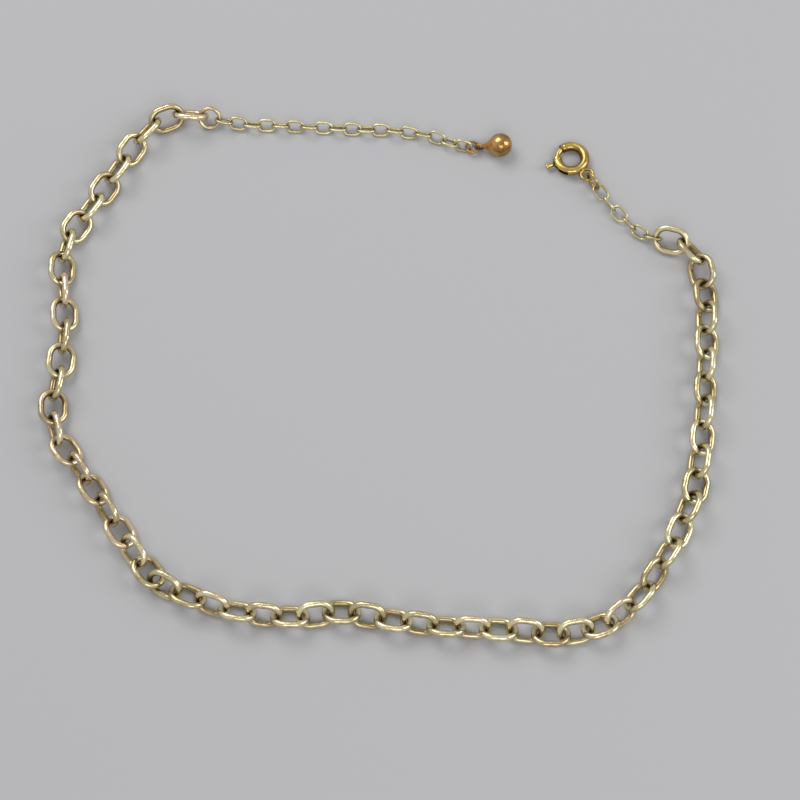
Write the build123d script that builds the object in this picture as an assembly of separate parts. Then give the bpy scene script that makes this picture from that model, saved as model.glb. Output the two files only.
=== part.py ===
from build123d import *
from collections import namedtuple
import math
import os

import numpy as np

# A chain anklet lying open on a flat surface: bolt-ring clasp, short fine chain, oval cable chain,
# fine extender chain and end drop. Sizes are in millimetres and angles in degrees. +X is along the
# long side of the loop, +Z is up, and the surface under the anklet is z = 0.

# A loop of round wire: a link, or a jump ring where its inner length equals its inner width.
Loop = namedtuple("Loop", "wire inner_length inner_width")
main_link = Loop(wire=0.95, inner_length=3.72, inner_width=2.5)
fine_link = Loop(wire=0.42, inner_length=2.1, inner_width=1.25)
clasp_jump_ring = Loop(wire=0.50, inner_length=2.2, inner_width=2.2)
extender_jump_ring = Loop(wire=0.60, inner_length=2.4, inner_width=2.4)
drop_jump_ring = Loop(wire=0.40, inner_length=1.5, inner_width=1.5)
clasp_eye = Loop(wire=0.45, inner_length=1.35, inner_width=1.35)
drop_eye = Loop(wire=0.40, inner_length=0.9, inner_width=0.9)

# How many links there are, and how the main chain is divided into solids.
main_runs = 10
links_per_run = 6
short_links = 6
extender_links = 18
run_bite = 0.04     # the links of one run sink into each other by this much, which joins them
piece_gap = 0.08    # the clear space between two pieces that are threaded through each other

# The route of the thread on the surface, from the eye of the clasp round the loop to the end drop.
short_route = [(31.8, 28.2), (33.5, 25.8), (35.8, 23.2), (37.4, 21.4), (39.2, 20.4)]
main_route = [
    (41.2, 19.9), (44.3, 18.9), (46.5, 16.0), (47.1, 10.5), (46.8, 2.5), (46.2, -5.0), (45.5, -11.5),
    (44.2, -19.0), (41.2, -26.0), (38.2, -31.0), (35.3, -35.0), (31.8, -38.0), (28.2, -39.2),
    (24.2, -39.8), (19.2, -39.2), (11.5, -38.8), (6.8, -38.5), (-1.5, -37.2), (-5.7, -36.5),
    (-11.2, -37.3), (-16.0, -37.1), (-21.6, -36.2), (-26.5, -34.4), (-31.0, -32.4), (-34.3, -28.5),
    (-38.8, -21.5), (-43.2, -15.0), (-46.2, -11.0), (-47.0, -6.0), (-46.3, -1.0), (-45.8, 5.0),
    (-46.2, 10.5), (-46.8, 15.5), (-45.8, 20.5), (-43.4, 24.2), (-40.2, 29.5), (-36.7, 35.3),
    (-33.8, 38.8), (-30.4, 40.0), (-27.3, 39.8),
]
extender_route = [(-21.3, 38.9), (-13.8, 38.5), (-6.4, 38.2), (1.0, 37.9), (7.0, 37.0), (12.2, 35.2)]
drop_route = [(15.0, 35.1), (22.0, 36.6)]

# How the links lie. Each is turned a quarter turn from the last, and the whole chain leans as well:
# at a lean of 0 or 90 every other link is flat, and at 45 all of them lie on one side.
# Columns: place on the thread, counted in loops from the clasp's eye; lean there.
lean_table = [
    (0, 0), (1, 0), (5, 30), (7, 45), (8, 36), (9, 36), (12, 58), (20, 57), (26, 35), (30, 32), (38, 38),
    (46, 30), (51, 22), (56, 22), (62, 40), (84, 45), (86, 65), (87, 80), (88, 90),
]
link_jitter = 7         # how much single links differ from their neighbours' lean
jitter_step = 2.4       # radians of its sine wave for each link, so that it doesn't repeat
drape_slope = 0.12      # the thread comes down from a raised link by this much in each millimetre

# The clasp: a hollow ring with a sprung bolt inside. Its angles are counted anticlockwise from +X.
ring_outer_diameter = 5.5
tube_diameter = 1.35
bore_diameter = 0.90
bolt_diameter = 0.76
ring_centre = (28.1, 33.2)
mouth_angle = 180       # the end of the tube that the bolt slides out of
socket_angle = 130      # the end of the tube that takes the bolt's tip
bolt_tip_angle = 123
bolt_tail_angle = 222
nub_angle = 200
trigger_travel = 50
eye_angle = -50
clasp_tilt = 4          # the jump ring under the eye lifts that side of the clasp
nub_diameter = 0.60
nub_head_diameter = 0.85
nub_head_length = 0.4
nub_length = 1.25       # how far the nub stands out from the tube
slot_clearance = 0.09
bolt_rounding = 0.3     # radius on the bolt's ends, as a share of its diameter
nub_rounding = 0.4      # radius on the nub's head, as a share of its length
cut_overrun = 5         # how far the bore is cut past each end of the tube, in degrees
eye_standoff = 0.15
ring_radius = (ring_outer_diameter - tube_diameter) / 2
eye_reach = ring_outer_diameter / 2 + clasp_eye.inner_length / 2 + eye_standoff

# The end drop, a solid teardrop with a cast eye.
drop_diameter = 3.5
drop_length = 5.8       # from its round end to the far side of its eye
drop_neck_diameter = 0.7

drop_reach = drop_length - drop_diameter / 2 - drop_eye.inner_length / 2 - drop_eye.wire

fine_tube_diameter = 1.6
arc_share = 0.45        # how much of the shorter run each arc of the tube's path may use


def route_point(route, distance):
    """The point at a distance along a route of straight runs, which is carried on past either end."""
    last = len(route) - 2
    for index in range(last + 1):
        start, end = np.array(route[index]), np.array(route[index + 1])
        run = math.dist(start, end)
        if distance <= run or index == last:
            return start + (end - start) * distance / run
        distance -= run


def half_sizes(loop):
    """Half the straight stretch of a loop's centreline, and the radius of its round ends."""
    return (loop.inner_length - loop.inner_width) / 2, (loop.inner_width + loop.wire) / 2


def end_points(loop, frame, end, count=61):
    """Points along the wire's centreline at one end of a placed loop: end is +1 or -1."""
    centre, along, across = frame
    straight, radius = half_sizes(loop)
    turn = np.radians(np.linspace(-90, 90, count))
    lengths = end * (straight + radius * np.cos(turn))
    widths = radius * np.sin(turn)
    return centre + np.outer(lengths, along) + np.outer(widths, across)


def wire_distance(first, first_frame, second, second_frame):
    """The least distance between the centrelines where the second loop is threaded through the first."""
    ahead = end_points(first, first_frame, 1)
    behind = end_points(second, second_frame, -1)
    return np.linalg.norm(ahead[:, None, :] - behind[None, :, :], axis=2).min()


def loop_frame(loop, route, distance, height, slope, roll):
    """Centre, length direction and width direction of a loop that lies on the route."""
    reach = loop.inner_length / 2
    flat = route_point(route, distance + reach) - route_point(route, distance - reach)
    along = np.array([*(flat / np.linalg.norm(flat)), slope])
    along /= np.linalg.norm(along)
    side = np.cross([0, 0, 1], along)
    side /= np.linalg.norm(side)
    across = math.cos(math.radians(roll)) * side + math.sin(math.radians(roll)) * np.cross(along, side)
    frame = np.array([*route_point(route, distance), 0.0]), along, across
    lowest = min(end_points(loop, frame, end)[:, 2].min() for end in (1, -1)) - loop.wire / 2
    frame[0][2] = max(height, -lowest)
    return frame


def rest_height(loop, roll):
    """The height of a loop's centre where it lies on the surface at a roll angle."""
    return loop.wire / 2 + half_sizes(loop)[1] * abs(math.sin(math.radians(roll)))


Piece = namedtuple("Piece", "node loop")


def list_pieces():
    """Every loop on the thread in order, with the node that it belongs to."""
    pieces = [Piece("clasp_ring", clasp_eye), Piece("clasp_jump_ring", clasp_jump_ring)]
    pieces += [Piece("short_chain", fine_link)] * short_links
    for run in range(main_runs):
        pieces += [Piece(f"chain_run_{run + 1:02d}", main_link)] * links_per_run
    pieces.append(Piece("extender_jump_ring", extender_jump_ring))
    pieces += [Piece("extender_chain", fine_link)] * extender_links
    return pieces + [Piece("drop_jump_ring", drop_jump_ring), Piece("end_drop", drop_eye)]


def piece_rolls(pieces):
    """The roll of each loop about the thread: its quarter turns, the chain's lean and its own jitter."""
    places, leans = zip(*lean_table)
    rolls = []
    for number, piece in enumerate(pieces):
        jitter = link_jitter * math.sin(jitter_step * number) if piece.loop in (main_link, fine_link) else 0
        rolls.append(90 * number + float(np.interp(number, places, leans)) + jitter)
    return rolls


def thread_heights(pieces, rolls, eye_height):
    """The height of each loop's centre: as low as it can lie, but draped from the loops beside it."""
    half_lengths = [piece.loop.inner_length / 2 for piece in pieces]
    places = np.cumsum([0] + [a + b for a, b in zip(half_lengths, half_lengths[1:])])
    lying = np.array([rest_height(piece.loop, roll) for piece, roll in zip(pieces, rolls)])
    lying[0] = eye_height
    heights = [max(lying - drape_slope * abs(places - place)) for place in places]
    slopes = np.gradient(heights, places)
    return heights, slopes


def clasp_axes():
    """Unit vectors of the tilted clasp: towards its eye, sideways, and out of its plane."""
    turn, tilt = math.radians(eye_angle), math.radians(clasp_tilt)
    level = np.array([math.cos(turn), math.sin(turn), 0.0])
    up = np.array([0.0, 0.0, 1.0])
    to_eye = math.cos(tilt) * level + math.sin(tilt) * up
    normal = math.cos(tilt) * up - math.sin(tilt) * level
    return to_eye, np.cross(normal, to_eye), normal


def clasp_centre():
    """The middle of the clasp's ring, whose side away from the eye rests on the surface."""
    rise = ring_radius * math.sin(math.radians(clasp_tilt))
    return np.array([*ring_centre, tube_diameter / 2 + rise])


def thread_frames(pieces, eye_frame, route):
    """Places each loop along the route, as far on as its wire can go before it meets the last one's."""
    rolls = piece_rolls(pieces)
    heights, slopes = thread_heights(pieces, rolls, eye_frame[0][2])
    slopes[-1] = math.tan(math.asin((drop_diameter / 2 - heights[-1]) / drop_reach))
    frames = [eye_frame]
    places = [0.0]
    for number in range(1, len(pieces)):
        last, piece = pieces[number - 1], pieces[number]
        taut = (last.loop.inner_length + piece.loop.inner_length) / 2
        clearance = piece_gap if last.node != piece.node else -run_bite
        target = (last.loop.wire + piece.loop.wire) / 2 + clearance
        slack_end, tight_end = places[-1] + 0.6 * taut, places[-1] + taut + 0.3
        for _ in range(30):
            place = (slack_end + tight_end) / 2
            slope = float(slopes[number])
            frame = loop_frame(piece.loop, route, place, heights[number], slope, rolls[number])
            if wire_distance(last.loop, frames[-1], piece.loop, frame) > target:
                slack_end = place
            else:
                tight_end = place
        frames.append(frame)
        places.append(place)
    return frames, places


def frame_plane(frame):
    """The plane of a placed loop, with its X along the loop's length."""
    centre, along, across = frame
    return Plane(origin=tuple(centre), x_dir=tuple(along), z_dir=tuple(np.cross(along, across)))


def loop_solid(loop, frame):
    """One loop of round wire at its place."""
    straight, radius = half_sizes(loop)
    if straight == 0:
        return frame_plane(frame) * Torus(radius, loop.wire / 2)
    end = Torus(radius, loop.wire / 2, major_angle=180, align=None)
    side = Rot(0, 90, 0) * Cylinder(loop.wire / 2, 2 * straight)
    solid = Pos(straight, 0, 0) * Rot(0, 0, -90) * end + Pos(-straight, 0, 0) * Rot(0, 0, 90) * end
    solid += [Pos(0, radius, 0) * side, Pos(0, -radius, 0) * side]
    return frame_plane(frame) * solid


def wire_end(loop, frame, end):
    """The middle of the wire at the far end (+1) or the near end (-1) of a placed loop."""
    straight, radius = half_sizes(loop)
    return frame[0] + end * (straight + radius) * frame[1]


def fine_chain(name, route, frames, places):
    """A fine chain: a tube along its route with a true link at each end, joined into one solid."""
    ends = places[0] + fine_link.inner_length, places[-1] - fine_link.inner_length
    heights = [max(frame[0][2], fine_tube_diameter / 2) for frame in frames]
    points = [wire_end(fine_link, frames[0], 1)]
    distance = 0.0
    for last, point in zip(route, route[1:]):
        distance += math.dist(last, point)
        if ends[0] < distance < ends[1]:
            points.append(np.array([*point, np.interp(distance, places, heights)]))
    points.append(wire_end(fine_link, frames[-1], -1))
    points[0][2] = max(points[0][2], fine_tube_diameter / 2)
    points[-1][2] = max(points[-1][2], fine_tube_diameter / 2)
    runs = [b - a for a, b in zip(points, points[1:])]
    radii = []
    for before, after in zip(runs, runs[1:]):
        turn = math.radians(Vector(*before).get_angle(Vector(*after)))
        shorter = min(np.linalg.norm(before), np.linalg.norm(after))
        radii.append(float(arc_share * shorter / math.tan(turn / 2)))
    path = FilletPolyline([tuple(point) for point in points], radius=radii)
    section = Plane(origin=path @ 0, z_dir=path % 0) * Circle(fine_tube_diameter / 2)
    tube = sweep(section, path=path)
    print(name, "tube radii", [round(radius, 1) for radius in radii], "length", round(path.length, 2),
          "volume over section times length", round(tube.volume / (section.area * path.length), 4))
    return tube + [loop_solid(fine_link, frames[0]), loop_solid(fine_link, frames[-1])]


def clasp_plane():
    """The clasp's own plane: angle 0 is its X, counted anticlockwise about its Z."""
    to_eye, sideways, normal = clasp_axes()
    turn = math.radians(eye_angle)
    x_direction = math.cos(turn) * to_eye - math.sin(turn) * sideways
    return Plane(origin=tuple(clasp_centre()), x_dir=tuple(x_direction), z_dir=tuple(normal))


def ring_stretch(diameter, start_angle, end_angle):
    """A curved round bar along the clasp's ring between two angles."""
    section = Plane.XZ * Pos(ring_radius, 0) * Circle(diameter / 2)
    return Rot(0, 0, start_angle) * revolve(section, axis=Axis.Z, revolution_arc=end_angle - start_angle)


def on_ring(angle, radius, solid):
    """Puts a solid at an angle and radius of the clasp's ring, with its X pointing outwards."""
    return Rot(0, 0, angle) * Pos(radius, 0, 0) * solid


def make_clasp_ring():
    """The hollow ring, open between its mouth and its socket, with the nub's slot and a soldered eye."""
    ring = ring_stretch(tube_diameter, mouth_angle, socket_angle + 360)
    ring -= ring_stretch(bore_diameter, mouth_angle - cut_overrun, socket_angle + 360 + cut_overrun)
    slot_width = nub_diameter + 2 * slot_clearance
    slot_margin = math.degrees(math.atan(slot_width / 2 / (ring_radius + bore_diameter / 2)))
    depth = ring_outer_diameter / 2 + 1 - ring_radius
    section = Plane.XZ * Pos(ring_radius + depth / 2, 0) * Rectangle(depth, slot_width)
    slot = revolve(section, axis=Axis.Z, revolution_arc=trigger_travel + 2 * slot_margin)
    ring -= Rot(0, 0, nub_angle - slot_margin) * slot
    ring += on_ring(eye_angle, eye_reach, Torus(half_sizes(clasp_eye)[1], clasp_eye.wire / 2))
    return clasp_plane() * ring


def make_clasp_trigger():
    """The bolt inside the ring with its rounded ends, and the thumb nub that slides it back."""
    bolt = ring_stretch(bolt_diameter, bolt_tip_angle, bolt_tail_angle)
    bolt = fillet(bolt.edges().group_by(SortBy.LENGTH)[0], bolt_diameter * bolt_rounding)
    nub_end = ring_outer_diameter / 2 + nub_length
    stem_length = nub_end - ring_radius
    lying = Rot(0, 90, 0)
    stem = lying * Cylinder(nub_diameter / 2, stem_length)
    bolt += on_ring(nub_angle, ring_radius + stem_length / 2, stem)
    head = Cylinder(nub_head_diameter / 2, nub_head_length)
    head = fillet(head.edges(), nub_head_length * nub_rounding)
    bolt += on_ring(nub_angle, nub_end - nub_head_length / 2, lying * head)
    return clasp_plane() * bolt


def make_end_drop(frame):
    """A teardrop of solid metal with a cast eye at its narrow end."""
    radius, neck_radius = drop_diameter / 2, drop_neck_diameter / 2
    eye_radius = half_sizes(drop_eye)[1]
    neck, middle = Vector(eye_radius, neck_radius), Vector(drop_reach, 0)
    slant = math.asin(radius / (middle - neck).length) - math.atan2(neck_radius, drop_reach - eye_radius)
    shoulder = middle + Vector(-math.sin(slant), math.cos(slant)) * radius
    nose = middle + Vector(radius, 0)
    side = middle + Vector(0, radius)
    outline = Polyline((eye_radius, 0), (neck.X, neck.Y), (shoulder.X, shoulder.Y))
    outline += ThreePointArc(shoulder, side, nose)
    outline += Line(nose, (eye_radius, 0))
    body = revolve(make_face(outline), axis=Axis.X)
    eye = Torus(eye_radius, drop_eye.wire / 2)
    return frame_plane(frame) * (body + eye)


def make_parts():
    """Every node of the anklet by name."""
    to_eye, sideways, _ = clasp_axes()
    eye = clasp_centre() + to_eye * eye_reach
    route = [tuple(eye[:2]), *short_route, *main_route, *extender_route, *drop_route]
    pieces = list_pieces()
    frames, places = thread_frames(pieces, (eye, to_eye, sideways), route)
    nodes = {"clasp_ring": make_clasp_ring(), "clasp_trigger": make_clasp_trigger()}
    for name in dict.fromkeys(piece.node for piece in pieces):
        members = [number for number, piece in enumerate(pieces) if piece.node == name]
        own_frames = [frames[number] for number in members]
        if name in ("short_chain", "extender_chain"):
            own_places = [places[number] for number in members]
            nodes[name] = fine_chain(name, route, own_frames, own_places)
        elif name == "end_drop":
            nodes[name] = make_end_drop(own_frames[0])
        elif name != "clasp_ring":
            links = [loop_solid(pieces[number].loop, frames[number]) for number in members]
            nodes[name] = links[0] + links[1:] if links[1:] else links[0]
    return nodes


os.makedirs("parts", exist_ok=True)
for name, solid in make_parts().items():
    export_step(solid, f"parts/{name}.step")
    size = solid.bounding_box().size
    print(f"{name}: {size.X:.2f} x {size.Y:.2f} x {size.Z:.2f} mm")
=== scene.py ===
import math

import bmesh
import bpy
import numpy as np
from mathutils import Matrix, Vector


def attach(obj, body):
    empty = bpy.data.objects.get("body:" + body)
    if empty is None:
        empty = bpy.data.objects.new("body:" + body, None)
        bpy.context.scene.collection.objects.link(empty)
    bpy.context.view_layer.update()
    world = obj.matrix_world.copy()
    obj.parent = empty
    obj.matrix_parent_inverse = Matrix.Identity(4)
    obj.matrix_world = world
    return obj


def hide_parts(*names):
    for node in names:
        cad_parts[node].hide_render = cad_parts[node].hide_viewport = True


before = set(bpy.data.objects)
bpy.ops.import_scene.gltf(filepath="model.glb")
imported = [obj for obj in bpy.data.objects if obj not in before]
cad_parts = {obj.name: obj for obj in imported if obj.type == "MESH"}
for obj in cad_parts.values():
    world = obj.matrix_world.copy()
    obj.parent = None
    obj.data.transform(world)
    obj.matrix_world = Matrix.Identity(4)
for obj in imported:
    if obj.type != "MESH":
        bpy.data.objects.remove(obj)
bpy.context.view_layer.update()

# Sizes and routes are in millimetres, and buildPiece turns them into metres.
mm = 0.001

# Loops of round wire: a ring is a loop whose inner length and width are the same.
loopSizes = {
    "mainLink": {"wire": 0.95, "innerLength": 3.72, "innerWidth": 2.5},
    "fineLink": {"wire": 0.42, "innerLength": 2.1, "innerWidth": 1.25},
    "claspJumpRing": {"wire": 0.50, "innerLength": 2.2, "innerWidth": 2.2},
    "extenderJumpRing": {"wire": 0.60, "innerLength": 2.4, "innerWidth": 2.4},
    "dropJumpRing": {"wire": 0.40, "innerLength": 1.5, "innerWidth": 1.5},
    "claspEye": {"wire": 0.45, "innerLength": 1.35, "innerWidth": 1.35},
    "dropEye": {"wire": 0.40, "innerLength": 0.9, "innerWidth": 0.9},
}

# How the loops follow each other on the thread, numbered from the clasp's eye, which is place 0.
chain = {
    "mainRuns": 10,
    "linksPerRun": 6,
    "shortLinks": 6,
    "extenderLinks": 18,
    "jointBite": 0.04,      # what the solid links of one run share, which the shown wire leaves off
    "pieceGap": 0.08,
    "lean": [               # place on the thread, degrees
        (0, 0), (1, 0), (5, 30), (7, 45), (8, 36), (9, 36), (12, 58), (20, 57), (26, 35), (30, 32), (38, 38),
        (46, 30), (51, 22), (56, 22), (62, 40), (84, 45), (86, 65), (87, 80), (88, 90),
    ],
    "leanJitter": 7,
    "jitterStep": 2.4,
    "drapeSlope": 0.12,
    "warmth": [             # place on the thread, how rose the plating is: 0 is yellow and 1 is rose
        (0, 0.9), (1, 0.8), (3, 0.1), (7, 0.1), (9, 0.3), (12, 0.0), (22, 0.2), (29, 0.5), (42, 0.3),
        (49, 0.7), (61, 0.5), (64, 0.1), (67, 0.8), (69, 0.8), (72, 0.0), (87, 0.0), (88, 0.4),
    ],
    "warmthSpread": 0.45,
}

# The way the thread lies on the surface, from the clasp round the loop to the drop.
shortRoute = [(31.8, 28.2), (33.5, 25.8), (35.8, 23.2), (37.4, 21.4), (39.2, 20.4)]
mainRoute = [
    (41.2, 19.9), (44.3, 18.9), (46.5, 16.0), (47.1, 10.5), (46.8, 2.5), (46.2, -5.0), (45.5, -11.5),
    (44.2, -19.0), (41.2, -26.0), (38.2, -31.0), (35.3, -35.0), (31.8, -38.0), (28.2, -39.2),
    (24.2, -39.8), (19.2, -39.2), (11.5, -38.8), (6.8, -38.5), (-1.5, -37.2), (-5.7, -36.5),
    (-11.2, -37.3), (-16.0, -37.1), (-21.6, -36.2), (-26.5, -34.4), (-31.0, -32.4), (-34.3, -28.5),
    (-38.8, -21.5), (-43.2, -15.0), (-46.2, -11.0), (-47.0, -6.0), (-46.3, -1.0), (-45.8, 5.0),
    (-46.2, 10.5), (-46.8, 15.5), (-45.8, 20.5), (-43.4, 24.2), (-40.2, 29.5), (-36.7, 35.3),
    (-33.8, 38.8), (-30.4, 40.0), (-27.3, 39.8),
]
extenderRoute = [(-21.3, 38.9), (-13.8, 38.5), (-6.4, 38.2), (1.0, 37.9), (7.0, 37.0), (12.2, 35.2)]
dropRoute = [(15.0, 35.1), (22.0, 36.6)]

# Where each loop lies. These repeat the solids' own steps, so that every link is where its solid is.
laying = {
    "endPoints": 61,        # how finely the round end of a loop is measured
    "leastReach": 0.6,      # the next loop is looked for from this share of the taut distance
    "mostReach": 0.3,       # to this far beyond it
    "halvings": 30,
}


def routePoint(route, distance):
    last = len(route) - 2
    for index in range(last + 1):
        start, end = np.array(route[index]), np.array(route[index + 1])
        run = math.dist(start, end)
        if distance <= run or index == last:
            return start + (end - start) * distance / run
        distance -= run


def halfSizes(size):
    # Half of a loop's straight side, and the radius of its round ends to the middle of the wire.
    straight = (size["innerLength"] - size["innerWidth"]) / 2
    return straight, (size["innerWidth"] + size["wire"]) / 2


def endPoints(size, place, end):
    centre, along, across = place
    straight, radius = halfSizes(size)
    turn = np.radians(np.linspace(-90, 90, laying["endPoints"]))
    lengths = end * (straight + radius * np.cos(turn))
    return centre + np.outer(lengths, along) + np.outer(radius * np.sin(turn), across)


def wireDistance(first, firstPlace, second, secondPlace):
    ahead, behind = endPoints(first, firstPlace, 1), endPoints(second, secondPlace, -1)
    return np.linalg.norm(ahead[:, None, :] - behind[None, :, :], axis=2).min()


def layLoop(size, route, distance, height, slope, roll):
    reach = size["innerLength"] / 2
    flat = routePoint(route, distance + reach) - routePoint(route, distance - reach)
    along = np.array([*(flat / np.linalg.norm(flat)), slope])
    along /= np.linalg.norm(along)
    side = np.cross([0, 0, 1], along)
    side /= np.linalg.norm(side)
    across = math.cos(math.radians(roll)) * side + math.sin(math.radians(roll)) * np.cross(along, side)
    place = np.array([*routePoint(route, distance), 0.0]), along, across
    lowest = min(endPoints(size, place, end)[:, 2].min() for end in (1, -1)) - size["wire"] / 2
    place[0][2] = max(height, -lowest)
    return place


def threadOrder():
    order = [("clasp_ring", "claspEye"), ("clasp_jump_ring", "claspJumpRing")]
    order += [("short_chain", "fineLink")] * chain["shortLinks"]
    for run in range(chain["mainRuns"]):
        order += [(f"chain_run_{run + 1:02d}", "mainLink")] * chain["linksPerRun"]
    order.append(("extender_jump_ring", "extenderJumpRing"))
    order += [("extender_chain", "fineLink")] * chain["extenderLinks"]
    return order + [("drop_jump_ring", "dropJumpRing"), ("end_drop", "dropEye")]


def layThread(order):
    sizes = [loopSizes[kind] for _, kind in order]
    leanPlaces, leans = zip(*chain["lean"])
    rolls = []
    for number, (_, kind) in enumerate(order):
        jitter = chain["leanJitter"] * math.sin(chain["jitterStep"] * number)
        own = jitter if kind in ("mainLink", "fineLink") else 0
        rolls.append(90 * number + float(np.interp(number, leanPlaces, leans)) + own)
    toEye, sideways, _ = claspAxes()
    eye = claspCentre() + toEye * eyeReach
    halves = [size["innerLength"] / 2 for size in sizes]
    marks = np.cumsum([0] + [a + b for a, b in zip(halves, halves[1:])])
    lying = np.array([size["wire"] / 2 + halfSizes(size)[1] * abs(math.sin(math.radians(roll)))
                      for size, roll in zip(sizes, rolls)])
    lying[0] = eye[2]
    heights = [max(lying - chain["drapeSlope"] * abs(marks - mark)) for mark in marks]
    slopes = np.gradient(heights, marks)
    slopes[-1] = math.tan(math.asin((drop["diameter"] / 2 - heights[-1]) / dropReach))
    route = [tuple(eye[:2]), *shortRoute, *mainRoute, *extenderRoute, *dropRoute]
    places, distances = [(eye, toEye, sideways)], [0.0]
    for number in range(1, len(order)):
        last, size = sizes[number - 1], sizes[number]
        taut = (last["innerLength"] + size["innerLength"]) / 2
        sameNode = order[number][0] == order[number - 1][0]
        target = (last["wire"] + size["wire"]) / 2 + (-chain["jointBite"] if sameNode else chain["pieceGap"])
        slackEnd = distances[-1] + laying["leastReach"] * taut
        tightEnd = distances[-1] + taut + laying["mostReach"]
        for _ in range(laying["halvings"]):
            distance = (slackEnd + tightEnd) / 2
            place = layLoop(size, route, distance, heights[number], float(slopes[number]), rolls[number])
            if wireDistance(last, places[-1], size, place) > target:
                slackEnd = distance
            else:
                tightEnd = distance
        places.append(place)
        distances.append(distance)
    return places


# Mesh parts are dictionaries of points, faces and what each point carries for the finish.
def loopLine(size, count, seamSamples=()):
    # Places along the wire from the middle of one side, with the outward directions there.
    straight, radius = halfSizes(size)
    arc = math.pi * radius
    total = 4 * straight + 2 * arc
    marks = sorted(set(np.linspace(0, total, count, endpoint=False)) | {s % total for s in seamSamples})
    line, outward, fromSeam = [], [], []
    for mark in marks:
        if mark <= straight:
            spot, out = (mark, radius), (0, 1)
        elif mark <= straight + arc:
            turn = math.pi / 2 - (mark - straight) / radius
            out = (math.cos(turn), math.sin(turn))
            spot = (straight + radius * out[0], radius * out[1])
        elif mark <= 3 * straight + arc:
            spot, out = (straight - (mark - straight - arc), -radius), (0, -1)
        elif mark <= 3 * straight + 2 * arc:
            turn = -math.pi / 2 - (mark - 3 * straight - arc) / radius
            out = (math.cos(turn), math.sin(turn))
            spot = (-straight + radius * out[0], radius * out[1])
        else:
            spot, out = (mark - total, radius), (0, 1)
        line.append(spot)
        outward.append(out)
        fromSeam.append(min(mark, total - mark))
    return np.array(line), np.array(outward), np.array(fromSeam)


def sweep(centres, outs, ups, radii, around, closed=True):
    # A round bar along a line; an open one is closed off by a flat face at each end.
    turn = np.linspace(0, 2 * math.pi, around, endpoint=False)
    ring = np.cos(turn)[None, :, None] * outs[:, None, :] + np.sin(turn)[None, :, None] * ups[:, None, :]
    points = (centres[:, None, :] + ring * np.asarray(radii)[:, None, None]).reshape(-1, 3)
    count = len(centres)
    faces = []
    for i in range(count if closed else count - 1):
        j = (i + 1) % count
        for k in range(around):
            m = (k + 1) % around
            faces.append((i * around + k, i * around + m, j * around + m, j * around + k))
    if not closed:
        faces.append(tuple(range(around - 1, -1, -1)))
        faces.append(tuple((count - 1) * around + k for k in range(around)))
    return {"points": points, "faces": faces}


def spin(profile, origin, axis, side, around):
    # A turned solid from (distance along the axis, radius) pairs, whose first and last radius are 0.
    up = np.cross(axis, side)
    turn = np.linspace(0, 2 * math.pi, around, endpoint=False)
    ring = np.cos(turn)[:, None] * side + np.sin(turn)[:, None] * up
    inner = profile[1:-1]
    points = [origin + profile[0][0] * axis]
    for along, radius in inner:
        points.extend(origin + along * axis + ring * radius)
    points.append(origin + profile[-1][0] * axis)
    faces = [(0, 1 + (k + 1) % around, 1 + k) for k in range(around)]
    for i in range(len(inner) - 1):
        start, following = 1 + i * around, 1 + (i + 1) * around
        for k in range(around):
            m = (k + 1) % around
            faces.append((start + k, start + m, following + m, following + k))
    end = 1 + (len(inner) - 1) * around
    faces += [(end + k, end + (k + 1) % around, len(points) - 1) for k in range(around)]
    return {"points": np.array(points), "faces": faces}


def placeLine(line, place):
    centre, along, across = place
    return centre + np.outer(line[:, 0], along) + np.outer(line[:, 1], across)


def wireWays(outward, place):
    # Outward and upward directions at each point of a loop's wire.
    _, along, across = place
    outs = np.outer(outward[:, 0], along) + np.outer(outward[:, 1], across)
    return outs, np.repeat(np.cross(along, across)[None, :], len(outward), axis=0)


# Links: seam and cut depths are shares of the wire's radius.
wireDetail = {
    "mainLink": {
        "along": 88, "around": 22, "seamBead": 0.035, "seamWidth": 0.30, "cutDepth": 0.03, "cutWidth": 0.035,
    },
    "fineLink": {
        "along": 52, "around": 16, "seamBead": 0.05, "seamWidth": 0.14, "cutDepth": 0.04, "cutWidth": 0.02,
    },
}
seamOffsets = (-2.0, -1.3, -0.8, -0.4, -0.2, -0.1, 0.0, 0.1, 0.2, 0.4, 0.8, 1.3, 2.0)    # in seam widths


def shownWire(kind):
    return loopSizes[kind]["wire"] - (chain["jointBite"] if kind in wireDetail else 0)


def linkPart(kind, place, number):
    # One closed link with a soldered seam in the middle of a side, which changes sides every second link.
    detail = wireDetail[kind]
    near = [offset * detail["seamWidth"] for offset in seamOffsets]
    line, outward, fromSeam = loopLine(loopSizes[kind], detail["along"], near)
    bead = detail["seamBead"] * np.exp(-(fromSeam / detail["seamWidth"]) ** 2)
    cut = detail["cutDepth"] * np.exp(-(fromSeam / detail["cutWidth"]) ** 2)
    radii = shownWire(kind) / 2 * (1 + bead - cut)
    centre, along, across = place
    seamPlace = (centre, along, across if number % 4 < 2 else -across)
    part = sweep(placeLine(line, seamPlace), *wireWays(outward, seamPlace), radii, detail["around"])
    part["seam"] = np.repeat(np.exp(-(fromSeam / detail["seamWidth"]) ** 2), detail["around"])
    # The sides of the wire that face into the link's hole are darkened in the material: painted shade.
    facing = -np.cos(np.linspace(0, 2 * math.pi, detail["around"], endpoint=False))
    part["inner"] = np.tile(np.clip(facing, 0, 1), len(line))
    return part


ringCut = {
    "angle": 75,            # from the ring's length way
    "gap": 0.045,
    "offset": 0.022,        # how far the two ends miss each other
    "trim": 0.03,           # the shown wire is this much thinner than the solid one
    "endShare": 0.86,       # of the wire's radius, at its rounded-off ends
    "along": 96,
    "around": 20,
}


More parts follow.
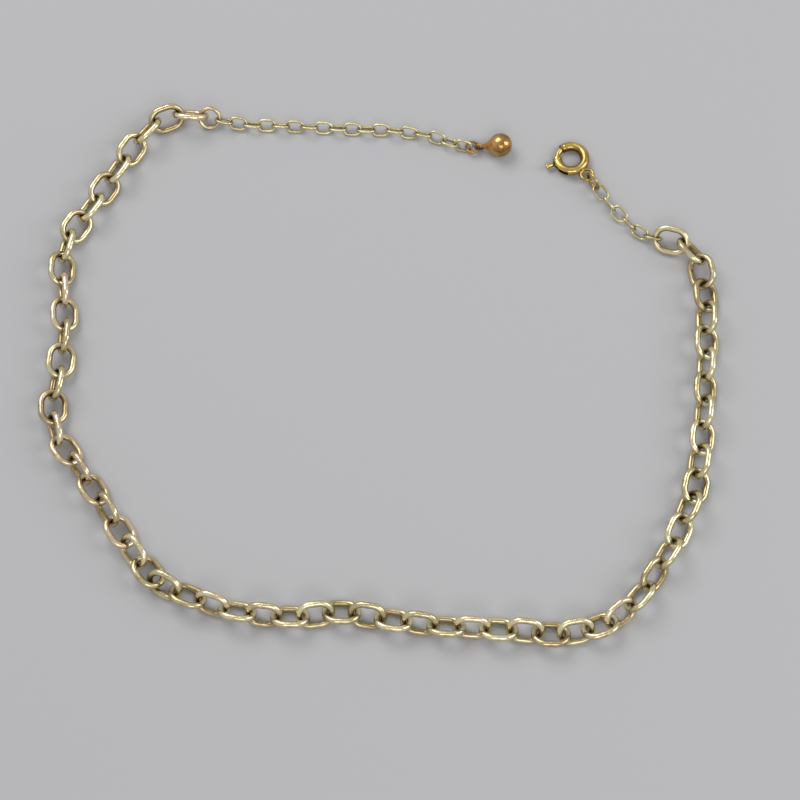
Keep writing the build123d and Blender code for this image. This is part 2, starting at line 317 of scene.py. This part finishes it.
def jumpRingPart(kind, place):
    # A ring bent shut: its rounded-off ends meet at a fine cut, a little out of line with each other.
    centre, lengthWay, widthWay = place
    radius, count = halfSizes(loopSizes[kind])[1], ringCut["along"]
    halfGap = ringCut["gap"] / 2 / radius
    turn = math.radians(ringCut["angle"]) + np.linspace(halfGap, 2 * math.pi - halfGap, count)
    outs, ups = wireWays(np.column_stack([np.cos(turn), np.sin(turn)]), place)
    drift = np.linspace(-1, 1, count) ** 3 * ringCut["offset"] / 2
    radii = np.full(count, (loopSizes[kind]["wire"] - ringCut["trim"]) / 2)
    radii[[0, -1]] *= ringCut["endShare"]
    centres = centre + outs * radius + np.outer(drift, np.cross(lengthWay, widthWay))
    return sweep(centres, outs, ups, radii, ringCut["around"], closed=False)


eyeDetail = {
    "claspEye": {"along": 72, "around": 20},
    "dropEye": {"along": 60, "around": 18},
}


def eyePart(kind, place):
    # A cast or soldered ring with no cut.
    line, outward, _ = loopLine(loopSizes[kind], eyeDetail[kind]["along"])
    radii = np.full(len(line), loopSizes[kind]["wire"] / 2)
    return sweep(placeLine(line, place), *wireWays(outward, place), radii, eyeDetail[kind]["around"])


clasp = {
    "centre": (28.1, 33.2),
    "outerDiameter": 5.5,
    "tubeDiameter": 1.35,
    "boreDiameter": 0.90,
    "mouthAngle": 180,      # angles are counted anticlockwise from +X
    "socketAngle": 130,
    "nubAngle": 200,
    "travel": 50,
    "eyeAngle": -50,
    "tilt": 4,
    "eyeStandoff": 0.15,
    "slotClearance": 0.09,
    "grooveDepth": 0.035,   # a turned groove by each end of the tube
    "grooveInset": 0.34,
    "grooveWidth": 0.07,
    "edgeRound": 0.045,
    "columns": 110,         # along the tube
    "closedRows": 34,       # around it, outside the slot
    "slotRows": 10,         # across the slot
    "endSteps": (0.8, 1.6),                             # extra columns by each end, degrees
    "grooveSteps": (-1.5, -1, -0.5, 0, 0.5, 1, 1.5),    # and over each groove, in groove widths
}

ringRadius = (clasp["outerDiameter"] - clasp["tubeDiameter"]) / 2
eyeReach = clasp["outerDiameter"] / 2 + loopSizes["claspEye"]["innerLength"] / 2 + clasp["eyeStandoff"]


def claspAxes():
    turn, tilt = math.radians(clasp["eyeAngle"]), math.radians(clasp["tilt"])
    level, up = np.array([math.cos(turn), math.sin(turn), 0.0]), np.array([0.0, 0.0, 1.0])
    toEye = math.cos(tilt) * level + math.sin(tilt) * up
    normal = math.cos(tilt) * up - math.sin(tilt) * level
    return toEye, np.cross(normal, toEye), normal


def claspCentre():
    rise = ringRadius * math.sin(math.radians(clasp["tilt"]))
    return np.array([*clasp["centre"], clasp["tubeDiameter"] / 2 + rise])


def onClasp(angle, radius, height=0.0):
    toEye, sideways, normal = claspAxes()
    turn = math.radians(angle - clasp["eyeAngle"])
    out = math.cos(turn) * toEye + math.sin(turn) * sideways
    return claspCentre() + out * radius + normal * height


def claspOut(angle):
    return onClasp(angle, 1.0) - claspCentre()


def claspTubePart():
    # The hollow ring: an outer and an inner wall on one grid, joined at both ends and round the slot.
    slotHalf = trigger["nubDiameter"] / 2 + clasp["slotClearance"]
    margin = math.degrees(math.atan(slotHalf / (ringRadius + clasp["boreDiameter"] / 2)))
    slotStart, slotEnd = clasp["nubAngle"] - margin, clasp["nubAngle"] + clasp["travel"] + margin
    first, last = clasp["mouthAngle"], clasp["socketAngle"] + 360
    inset = math.degrees(clasp["grooveInset"] / ringRadius)
    half = math.degrees(clasp["grooveWidth"] / ringRadius)
    nearEnds = [*clasp["endSteps"], *(inset + half * step for step in clasp["grooveSteps"])]
    marks = {round(first + a, 4) for a in nearEnds} | {round(last - a, 4) for a in nearEnds}
    marks |= {round(a, 4) for a in np.linspace(first, last, clasp["columns"])}
    marks = sorted(marks | {round(slotStart, 4), round(slotEnd, 4)})
    startColumn, endColumn = marks.index(round(slotStart, 4)), marks.index(round(slotEnd, 4))
    slotRows, rows, columns = clasp["slotRows"], clasp["slotRows"] + clasp["closedRows"], len(marks)
    points, facing = [], []
    for wallRadius in (clasp["tubeDiameter"] / 2, clasp["boreDiameter"] / 2):
        outside = wallRadius == clasp["tubeDiameter"] / 2
        edge = math.asin(slotHalf / wallRadius)
        turns = list(np.linspace(-edge, edge, slotRows, endpoint=False))
        turns += list(np.linspace(edge, 2 * math.pi - edge, clasp["closedRows"], endpoint=False))
        for mark in marks:
            fromGroove = min(abs(mark - first - inset), abs(last - mark - inset)) / half
            groove = clasp["grooveDepth"] * math.exp(-fromGroove ** 2) if outside else 0
            for turn in turns:
                radius = wallRadius - groove
                points.append(onClasp(mark, ringRadius + radius * math.cos(turn), radius * math.sin(turn)))
                # The outer wall's side facing the ring's middle, and all of the bore, are darkened in the
                # material: painted shade.
                facing.append(max(0.0, -math.cos(turn)) if outside else 1.0)

    def at(wall, column, row):
        return (wall * columns + column) * rows + row % rows

    faces = []

    def addEdgeFace(column, row, nextColumn, nextRow):
        # A face between the two walls.
        faces.append((at(0, column, row), at(0, nextColumn, nextRow),
                      at(1, nextColumn, nextRow), at(1, column, row)))

    for column in range(columns - 1):
        for row in range(rows):
            if startColumn <= column < endColumn and row < slotRows:
                continue
            for wall in (0, 1):
                faces.append((at(wall, column, row), at(wall, column, row + 1),
                              at(wall, column + 1, row + 1), at(wall, column + 1, row)))
    for column in (0, columns - 1):
        for row in range(rows):
            addEdgeFace(column, row, column, row + 1)
    for column in range(startColumn, endColumn):
        for row in (0, slotRows):
            addEdgeFace(column, row, column + 1, row)
    for column in (startColumn, endColumn):
        for row in range(slotRows):
            addEdgeFace(column, row, column, row + 1)
    return {"points": np.array(points), "faces": faces, "inner": np.array(facing)}


solder = {
    "length": 0.34,
    "width": 0.62,
    "standoff": 0.02,       # its middle is this far outside the ring
    "fullness": 0.8,        # under 1 it's blunter than a round blob
    "rings": 18,
    "around": 28,
}


def solderPart():
    # The small blob of solder that holds the clasp's eye.
    toEye, sideways, _ = claspAxes()
    middle = onClasp(clasp["eyeAngle"], clasp["outerDiameter"] / 2 + solder["standoff"])
    profile = [(-solder["length"] / 2 * math.cos(t), solder["width"] / 2 * math.sin(t) ** solder["fullness"])
               for t in np.linspace(0, math.pi, solder["rings"])]
    return spin(profile, middle, toEye, sideways, solder["around"])


trigger = {
    "boltDiameter": 0.76,
    "tipAngle": 123,
    "tailAngle": 222,
    "endSteps": (0.02, 0.1, 0.22, 0.4, 0.6, 0.8),       # where a round end has its points, from tip to body
    "boltSteps": 50,
    "boltAround": 24,
    "nubDiameter": 0.60,
    "nubHeadDiameter": 0.85,
    "nubHeadLength": 0.4,
    "nubLength": 1.25,
    "nubEdge": 0.13,
    "nubFlare": (0.08, 0.035),                          # length and rise of the stem's flare under the head
    "underTurns": (-90, -60, -30, 0),                   # degrees, round the two edges of the head
    "topTurns": (0, 25, 50, 75, 90),
    "nubAround": 32,
}


def triggerParts():
    # The bolt with its round ends, and the nub, a turned post with a flat round head.
    normal = claspAxes()[2]
    radius = trigger["boltDiameter"] / 2
    roundAngle = math.degrees(radius / ringRadius)
    nearEnd = roundAngle * np.array(trigger["endSteps"])
    tip, tail = trigger["tipAngle"], trigger["tailAngle"]
    body = np.linspace(tip + roundAngle, tail - roundAngle, trigger["boltSteps"])
    angles = np.concatenate([tip + nearEnd, body, tail - nearEnd[::-1]])
    fromEnd = np.minimum(angles - tip, tail - angles) / roundAngle
    rounding = np.sqrt(1 - (1 - np.minimum(fromEnd, 1)) ** 2)
    outs = np.array([claspOut(angle) for angle in angles])
    ups = np.repeat(normal[None, :], len(angles), axis=0)
    bolt = sweep(claspCentre() + outs * ringRadius, outs, ups, radius * rounding, trigger["boltAround"],
                 closed=False)
    end = clasp["outerDiameter"] / 2 + trigger["nubLength"]
    neck = end - trigger["nubHeadLength"]
    stem, head, edge = trigger["nubDiameter"] / 2, trigger["nubHeadDiameter"] / 2, trigger["nubEdge"]
    flareLength, flareRise = trigger["nubFlare"]
    profile = [(ringRadius, 0), (ringRadius, stem), (neck - flareLength, stem), (neck, stem + flareRise)]
    for middle, turns in ((neck + edge, trigger["underTurns"]), (end - edge, trigger["topTurns"])):
        for turn in np.radians(turns):
            profile.append((middle + edge * math.sin(turn), head - edge + edge * math.cos(turn)))
    profile.append((end, 0))
    return [bolt, spin(profile, claspCentre(), claspOut(clasp["nubAngle"]), normal, trigger["nubAround"])]


drop = {
    "diameter": 3.5,
    "length": 5.8,
    "neckDiameter": 0.7,
    "neckPull": 0.3,        # how far the flank's curve leaves the neck straight
    "shoulderAngle": 125,   # where the narrowing flank leaves the round end
    "flankHollow": 0.5,
    "flankSteps": 22,
    "roundSteps": 40,
    "around": 72,
}

dropReach = (drop["length"] - drop["diameter"] / 2 - loopSizes["dropEye"]["innerLength"] / 2
             - loopSizes["dropEye"]["wire"])


def dropParts(place):
    centre, along, across = place
    radius, neck = drop["diameter"] / 2, drop["neckDiameter"] / 2
    eyeRadius = halfSizes(loopSizes["dropEye"])[1]
    turn = math.radians(drop["shoulderAngle"])
    shoulder = np.array([dropReach + radius * math.cos(turn), radius * math.sin(turn)])
    tangent = np.array([math.sin(turn), -math.cos(turn)])
    start = np.array([eyeRadius, neck])
    handles = [start, start + (drop["neckPull"], 0.0), shoulder - drop["flankHollow"] * tangent, shoulder]
    profile = [(eyeRadius, 0)]
    for t in np.linspace(0, 1, drop["flankSteps"], endpoint=False):
        weights = (1 - t) ** 3, 3 * t * (1 - t) ** 2, 3 * t * t * (1 - t), t ** 3
        profile.append(tuple(sum(w * handle for w, handle in zip(weights, handles))))
    for t in np.linspace(turn, 0, drop["roundSteps"], endpoint=False):
        profile.append((dropReach + radius * math.cos(t), radius * math.sin(t)))
    profile.append((dropReach + radius, 0))
    return [spin(profile, centre, along, across, drop["around"]), eyePart("dropEye", place)]


# What each piece carries for its finish, besides its shape.
contactDirtShade = {
    "reach": 0.42,          # how far the dirt and painted shade spread from where wires touch
    "far": 9.0,             # what counts as no neighbour
    "samples": 72,          # along the neighbour's wire
}
randomTone = np.random.default_rng(11)


def contactDirtShadeValues(points, neighbours):
    # How close each point is to the wire threaded through it: 1 where they touch. The material darkens these
    # places with dirt and painted shade.
    gap = np.full(len(points), contactDirtShade["far"])
    for kind, place in neighbours:
        line = placeLine(loopLine(loopSizes[kind], contactDirtShade["samples"])[0], place)
        distance = np.linalg.norm(points[:, None, :] - line[None, :, :], axis=2).min(axis=1)
        gap = np.minimum(gap, distance - shownWire(kind) / 2)
    return np.exp(-np.clip(gap, 0, None) / contactDirtShade["reach"])


rounding = {
    "segments": 2,
    "sharpest": 50,         # edges that turn by more than this many degrees are rounded
}


def roundEdges(piece, width):
    bevel = piece.modifiers.new("roundedEdges", "BEVEL")
    bevel.width = width * mm
    bevel.segments = rounding["segments"]
    bevel.limit_method = "ANGLE"
    bevel.angle_limit = math.radians(rounding["sharpest"])
    bevel.harden_normals = True
    bpy.context.view_layer.objects.active = piece
    piece.select_set(True)
    bpy.ops.object.modifier_apply(modifier=bevel.name)
    piece.select_set(False)


def buildPiece(name, parts, material, body, nodes, edgeRound=None):
    points, faces, carried = [], [], {"tone": [], "warmth": [], "contactDirtShade": [], "inner": [], "seam": []}
    offset = 0
    for part in parts:
        count = len(part["points"])
        points.append(part["points"] * mm)
        faces += [tuple(index + offset for index in face) for face in part["faces"]]
        for key in carried:
            carried[key].append(np.broadcast_to(part.get(key, 0.0), (count,)))
        offset += count
    mesh = bpy.data.meshes.new(name)
    mesh.from_pydata(np.concatenate(points).tolist(), [], faces)
    for key, values in carried.items():
        attribute = mesh.attributes.new(key, "FLOAT", "POINT")
        attribute.data.foreach_set("value", np.concatenate(values).astype(np.float32))
    shape = bmesh.new()
    shape.from_mesh(mesh)
    bmesh.ops.recalc_face_normals(shape, faces=shape.faces)
    shape.to_mesh(mesh)
    shape.free()
    mesh.polygons.foreach_set("use_smooth", [True] * len(mesh.polygons))
    piece = bpy.data.objects.new(name, mesh)
    bpy.context.scene.collection.objects.link(piece)
    mesh.materials.append(material)
    if edgeRound:
        roundEdges(piece, edgeRound)
    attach(piece, body)
    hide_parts(*nodes)
    triangles = sum(len(polygon.vertices) - 2 for polygon in piece.data.polygons)
    print(f"built {name}: {triangles} triangles")


# Finishes. Groups give colours, masks and heights, and each material has its own shader.
def addNode(tree, kind, inputs=(), **settings):
    node = tree.nodes.new(kind)
    for key, value in settings.items():
        setattr(node, key, value)
    for key, value in dict(inputs).items():
        if isinstance(value, bpy.types.NodeSocket):
            tree.links.new(value, node.inputs[key])
        else:
            node.inputs[key].default_value = value
    return node


def newGroup(name, inputs, outputs):
    group = bpy.data.node_groups.new(name, "ShaderNodeTree")
    kinds = {tuple: "NodeSocketColor", float: "NodeSocketFloat"}
    for label, value in inputs.items():
        socket = group.interface.new_socket(label, in_out="INPUT", socket_type=kinds[type(value)])
        socket.default_value = value
    for label, kind in outputs.items():
        group.interface.new_socket(label, in_out="OUTPUT", socket_type=kind)
    return group, group.nodes.new("NodeGroupInput").outputs, group.nodes.new("NodeGroupOutput").inputs


def mathNode(tree, operation, *values, clamp=False):
    node = addNode(tree, "ShaderNodeMath", enumerate(values), operation=operation, use_clamp=clamp)
    return node.outputs[0]


def mixColour(tree, factor, first, second):
    # Sockets 6, 7 and 2 are the colour ones.
    node = addNode(tree, "ShaderNodeMix", {0: factor, 6: first, 7: second}, data_type="RGBA")
    return node.outputs[2]


def noise(tree, where, scale, detail, roughness=0.5):
    inputs = {"Vector": where, "Scale": scale, "Detail": detail, "Roughness": roughness}
    return addNode(tree, "ShaderNodeTexNoise", inputs).outputs["Fac"]


def mapRange(tree, value, source, target=(0.0, 1.0)):
    inputs = {"Value": value, "From Min": source[0], "From Max": source[1],
              "To Min": target[0], "To Max": target[1]}
    return addNode(tree, "ShaderNodeMapRange", inputs).outputs["Result"]


# Colours are linear; sizes of patterns are waves to the metre.
# The dirt colour darkens where wires touch: partly dirt, partly painted shade.
finishes = {
    "mainGold": {
        "yellow": (0.85, 0.79, 0.48, 1), "rose": (0.87, 0.70, 0.50, 1), "deep": (0.36, 0.27, 0.13, 1),
        "dirtAndShade": (0.07, 0.045, 0.022, 1), "patchSize": 420.0, "patchAmount": 0.45, "toneSpread": 0.45,
        "innerPaintedShade": 0.7, "dirtAndShadeAmount": 0.9, "scratchAmount": 0.6, "smooth": 0.10, "dull": 0.25,
        "bump": 0.22,
    },
    "fineGold": {
        "yellow": (0.85, 0.785, 0.43, 1), "rose": (0.85, 0.67, 0.43, 1), "deep": (0.38, 0.31, 0.14, 1),
        "dirtAndShade": (0.08, 0.058, 0.026, 1), "patchSize": 700.0, "patchAmount": 0.35, "toneSpread": 0.4,
        "innerPaintedShade": 0.5, "dirtAndShadeAmount": 0.8, "scratchAmount": 0.4, "smooth": 0.15, "dull": 0.30,
        "bump": 0.16,
    },
    # The clasp's dark brown base and strong deep patches are partly painted dark reflection, partly its own
    # browner tone.
    "claspGold": {
        "yellow": (0.66, 0.48, 0.15, 1), "rose": (0.62, 0.41, 0.15, 1), "deep": (0.20, 0.125, 0.035, 1),
        "dirtAndShade": (0.05, 0.03, 0.01, 1), "patchSize": 500.0, "patchAmount": 0.7, "toneSpread": 0.4,
        "innerPaintedShade": 0.8, "dirtAndShadeAmount": 0.8, "scratchAmount": 0.8, "smooth": 0.10, "dull": 0.24,
        "bump": 0.20,
    },
    # The drop's dark red-brown base and its full deep patches are painted dark reflection of the polished
    # ball, besides its own tone.
    "dropGold": {
        "yellow": (0.64, 0.36, 0.12, 1), "rose": (0.62, 0.31, 0.10, 1), "deep": (0.10, 0.045, 0.015, 1),
        "dirtAndShade": (0.05, 0.025, 0.01, 1), "patchSize": 360.0, "patchAmount": 1.0, "toneSpread": 0.4,
        "innerPaintedShade": 0.5, "dirtAndShadeAmount": 0.8, "scratchAmount": 0.8, "smooth": 0.09, "dull": 0.22,
        "bump": 0.20,
    },
}
toneInputs = {              # the group's input, and where a finish states it
    "Yellow": "yellow", "Rose": "rose", "Deep": "deep", "Dirt And Shade": "dirtAndShade", "Patch Size": "patchSize",
    "Patch Amount": "patchAmount", "Tone Spread": "toneSpread", "Inner Painted Shade": "innerPaintedShade",
    "Dirt And Shade Amount": "dirtAndShadeAmount",
}
wear = {
    "patchDetail": 3.0,
    "patchRoughness": 0.6,
    "patchRange": (0.42, 0.7),          # noise values where a patch starts, and where it's full
    "dirtAndShadeGrain": 5200.0,
    "dirtAndShadeDetail": 4.0,
    "dirtAndShadeFloor": 0.35,
    "scratchWays": [((0.3, 0.5, 0.4), (700, 9000, 9000)), ((1.1, 0.2, 2.0), (900, 11000, 11000))],
    "scratchDetail": 2.0,
    "scratchRange": (0.63, 0.72),
    "polishSize": 9000.0,
    "polishDetail": 5.0,
    "polishHeight": 0.35,               # of a scratch's depth
    "smudgeSize": 420.0,
    "smudgeDetail": 3.0,
    "smudgeRange": (0.35, 0.7),
    "scratchRoughness": 0.14,
    "dirtRoughness": 0.45,
    "seamTone": 0.35,
    "depth": 0.00002,
}


def makePlatingToneAndShade():
    # Colour of the plating: yellow to rose by link, patches of a deeper tone, painted shade on inner sides,
    # and dirt with painted shade where wires meet.
    inputs = {label: finishes["mainGold"][key] for label, key in toneInputs.items()}
    group, taken, given = newGroup("platingToneAndShade", inputs,
                                   {"Color": "NodeSocketColor", "Dirt And Shade Mask": "NodeSocketFloat"})
    where = addNode(group, "ShaderNodeTexCoord").outputs["Object"]
    carried = {name: addNode(group, "ShaderNodeAttribute", attribute_name=name).outputs["Fac"]
               for name in ("tone", "warmth", "contactDirtShade", "inner")}
    patches = noise(group, where, taken["Patch Size"], wear["patchDetail"], wear["patchRoughness"])
    patches = mapRange(group, patches, wear["patchRange"])
    patchMask = mathNode(group, "MULTIPLY", patches, taken["Patch Amount"])
    toneMask = mathNode(group, "MULTIPLY", carried["tone"], taken["Tone Spread"])
    # Inner sides are darkened towards the deep tone: painted shade.
    innerShadeMask = mathNode(group, "MULTIPLY", carried["inner"], taken["Inner Painted Shade"])
    deepMask = mathNode(group, "ADD", mathNode(group, "ADD", patchMask, toneMask), innerShadeMask, clamp=True)
    base = mixColour(group, carried["warmth"], taken["Yellow"], taken["Rose"])
    plated = mixColour(group, deepMask, base, taken["Deep"])
    # Darkening where wires touch, broken up by a grain: partly dirt, partly painted shade.
    grain = noise(group, where, wear["dirtAndShadeGrain"], wear["dirtAndShadeDetail"])
    broken = mathNode(group, "MULTIPLY", carried["contactDirtShade"], mathNode(group, "ADD", grain, wear["dirtAndShadeFloor"]))
    dirtAndShade = mathNode(group, "MULTIPLY", broken, taken["Dirt And Shade Amount"], clamp=True)
    group.links.new(mixColour(group, dirtAndShade, plated, taken["Dirt And Shade"]), given["Color"])
    group.links.new(dirtAndShade, given["Dirt And Shade Mask"])
    return group


def makeHandlingMarks():
    # Hair scratches in two directions and a fine polish grain.
    group, taken, given = newGroup("handlingMarks", {"Scratch Amount": 0.5},
                                   {name: "NodeSocketFloat" for name in ("Height", "Scratch Mask", "Smudge")})
    where = addNode(group, "ShaderNodeTexCoord").outputs["Object"]
    masks = []
    for turn, stretch in wear["scratchWays"]:
        turned = addNode(group, "ShaderNodeMapping", {"Vector": where, "Rotation": turn, "Scale": stretch})
        lines = noise(group, turned.outputs["Vector"], 1.0, wear["scratchDetail"])
        masks.append(mapRange(group, lines, wear["scratchRange"]))
    scratches = mathNode(group, "MAXIMUM", *masks)
    scratches = mathNode(group, "MULTIPLY", scratches, taken["Scratch Amount"], clamp=True)
    polish = noise(group, where, wear["polishSize"], wear["polishDetail"])
    height = mathNode(group, "SUBTRACT", mathNode(group, "MULTIPLY", polish, wear["polishHeight"]), scratches)
    group.links.new(height, given["Height"])
    group.links.new(scratches, given["Scratch Mask"])
    group.links.new(noise(group, where, wear["smudgeSize"], wear["smudgeDetail"]), given["Smudge"])
    return group


platingToneAndShade, handlingMarks = makePlatingToneAndShade(), makeHandlingMarks()


def makeGold(name):
    finish = finishes[name]
    material = bpy.data.materials.new(name)
    material.use_nodes = True
    tree = material.node_tree
    shader = tree.nodes["Principled BSDF"]
    shader.inputs["Metallic"].default_value = 1.0
    shader.inputs["Specular IOR Level"].default_value = 0.5
    tone = addNode(tree, "ShaderNodeGroup", node_tree=platingToneAndShade)
    for label, key in toneInputs.items():
        tone.inputs[label].default_value = finish[key]
    marks = addNode(tree, "ShaderNodeGroup", node_tree=handlingMarks)
    marks.inputs["Scratch Amount"].default_value = finish["scratchAmount"]
    smudged = mapRange(tree, marks.outputs["Smudge"], wear["smudgeRange"], (finish["smooth"], finish["dull"]))
    rough = mathNode(tree, "MULTIPLY_ADD", marks.outputs["Scratch Mask"], wear["scratchRoughness"], smudged)
    dirtRough = mathNode(tree, "MULTIPLY", tone.outputs["Dirt And Shade Mask"], wear["dirtRoughness"])
    rough = mathNode(tree, "ADD", rough, dirtRough, clamp=True)
    seam = addNode(tree, "ShaderNodeAttribute", attribute_name="seam").outputs["Fac"]
    seamMask = mathNode(tree, "MULTIPLY", seam, wear["seamTone"])
    colour = mixColour(tree, seamMask, tone.outputs["Color"], finish["deep"])
    bump = addNode(tree, "ShaderNodeBump", {"Height": marks.outputs["Height"], "Strength": finish["bump"],
                                            "Distance": wear["depth"]})
    tree.links.new(colour, shader.inputs["Base Color"])
    tree.links.new(rough, shader.inputs["Roughness"])
    tree.links.new(bump.outputs["Normal"], shader.inputs["Normal"])
    return material


gold = {name: makeGold(name) for name in finishes}
print("finishes made")

order = threadOrder()
places = layThread(order)
print(f"thread laid: {len(order)} loops")

parts = {}
for number, ((node, kind), place) in enumerate(zip(order, places)):
    if kind in wireDetail:
        part = linkPart(kind, place, number)
    elif kind.endswith("JumpRing"):
        part = jumpRingPart(kind, place)
    else:
        continue
    near = [(order[n][1], places[n]) for n in (number - 1, number + 1) if 0 <= n < len(order)]
    # Closeness to the neighbouring wires, darkened in the material as dirt and painted shade.
    part["contactDirtShade"] = contactDirtShadeValues(part["points"], near)
    part["tone"] = float(randomTone.uniform(0, 1))
    drift = np.interp(number, *zip(*chain["warmth"])) + chain["warmthSpread"] * randomTone.uniform(-1, 1)
    part["warmth"] = float(np.clip(drift, 0, 1))
    parts.setdefault(node, []).append(part)

for run in range(1, chain["mainRuns"] + 1):
    node = f"chain_run_{run:02d}"
    buildPiece(f"mainLinks_{run:02d}", parts[node], gold["mainGold"], "anklet", [node])
for name, node, finish, slotName in (
    ("shortChainLinks", "short_chain", "fineGold", "fine_chain"),
    ("extenderLinks", "extender_chain", "fineGold", "fine_chain"),
    ("claspJumpRing", "clasp_jump_ring", "claspGold", "clasp"),
    ("extenderJumpRing", "extender_jump_ring", "fineGold", "fine_chain"),
    ("dropJumpRing", "drop_jump_ring", "dropGold", "fine_chain"),
):
    buildPiece(name, parts[node], gold[finish], "anklet", [node])
buildPiece("endDrop", dropParts(places[-1]), gold["dropGold"], "anklet", ["end_drop"])
buildPiece("claspRing", [claspTubePart()], gold["claspGold"], "anklet", ["clasp_ring"],
           clasp["edgeRound"])
buildPiece("claspEye", [eyePart("claspEye", places[0]), solderPart()], gold["claspGold"], "anklet",
           ["clasp_ring"])
buildPiece("claspTrigger", triggerParts(), gold["claspGold"], "trigger", ["clasp_trigger"])
print("pieces built")

# The studio is in metres, apart from the view.
studio = {
    "floorColour": (0.54, 0.54, 0.55, 1),
    "floorRoughness": 0.9,
    "floorShine": 0.2,
    "floorHalf": 3.0,
    "worldColour": (0.53, 0.53, 0.54, 1),
    "worldStrength": 0.7,
    "seenStrength": 1.25,   # what the metal and the camera see round the floor, a little paler than the floor
    "lamps": {              # place, size and power
        "windowLamp": ((-0.20, 0.28, 0.42), (0.36, 0.30), 1.1),
        "sideLamp": ((0.42, 0.02, 0.30), (0.20, 0.32), 0.65),
        "frontLamp": ((0.05, -0.34, 0.40), (0.32, 0.24), 0.54),
    },
    "aim": (0, 0, 0),
}


def makeFloor():
    half = studio["floorHalf"]
    mesh = bpy.data.meshes.new("studioFloor")
    corners = [(-half, -half, 0), (half, -half, 0), (half, half, 0), (-half, half, 0)]
    mesh.from_pydata(corners, [], [(0, 1, 2, 3)])
    floor = bpy.data.objects.new("studioFloor", mesh)
    bpy.context.scene.collection.objects.link(floor)
    material = bpy.data.materials.new("floorPaper")
    material.use_nodes = True
    shader = material.node_tree.nodes["Principled BSDF"]
    shader.inputs["Base Color"].default_value = studio["floorColour"]
    shader.inputs["Roughness"].default_value = studio["floorRoughness"]
    shader.inputs["Specular IOR Level"].default_value = studio["floorShine"]
    mesh.materials.append(material)


def aimAt(thing, target):
    thing.rotation_euler = (Vector(target) - thing.location).to_track_quat("-Z", "Y").to_euler()


def makeLamps():
    for name, (place, size, power) in studio["lamps"].items():
        light = bpy.data.lights.new(name, "AREA")
        light.shape = "RECTANGLE"
        light.size, light.size_y = size
        light.energy = power
        lamp = bpy.data.objects.new(name, light)
        lamp.location = place
        aimAt(lamp, studio["aim"])
        bpy.context.scene.collection.objects.link(lamp)


def makeWorld():
    # It lights everything softly, and is paler where the camera or the metal sees it.
    world = bpy.data.worlds.new("studioWorld")
    world.use_nodes = True
    tree = world.node_tree
    background = tree.nodes["Background"]
    background.inputs["Color"].default_value = studio["worldColour"]
    rays = addNode(tree, "ShaderNodeLightPath").outputs
    seen = mathNode(tree, "MAXIMUM", rays["Is Camera Ray"], rays["Is Glossy Ray"])
    strength = mapRange(tree, seen, (0.0, 1.0), (studio["worldStrength"], studio["seenStrength"]))
    tree.links.new(strength, background.inputs["Strength"])
    bpy.context.scene.world = world


view = {
    "aim": (2.6, -4.8, 0.0),
    "elevation": 70,
    "distance": 326,
    "angle": 20,
    "nearest": 0.01,        # metres, as is the furthest
    "furthest": 20,
}


def makeCamera():
    data = bpy.data.cameras.new("viewCamera")
    data.angle = math.radians(view["angle"])
    data.clip_start, data.clip_end = view["nearest"], view["furthest"]
    camera = bpy.data.objects.new("viewCamera", data)
    rise = math.radians(view["elevation"])
    aim = Vector(view["aim"]) * mm
    camera.location = aim + Vector((0, -math.cos(rise), math.sin(rise))) * view["distance"] * mm
    aimAt(camera, aim)
    bpy.context.scene.collection.objects.link(camera)
    bpy.context.scene.camera = camera


makeFloor()
makeLamps()
makeWorld()
makeCamera()
bpy.context.scene.view_settings.view_transform = "Standard"
print("studio set")
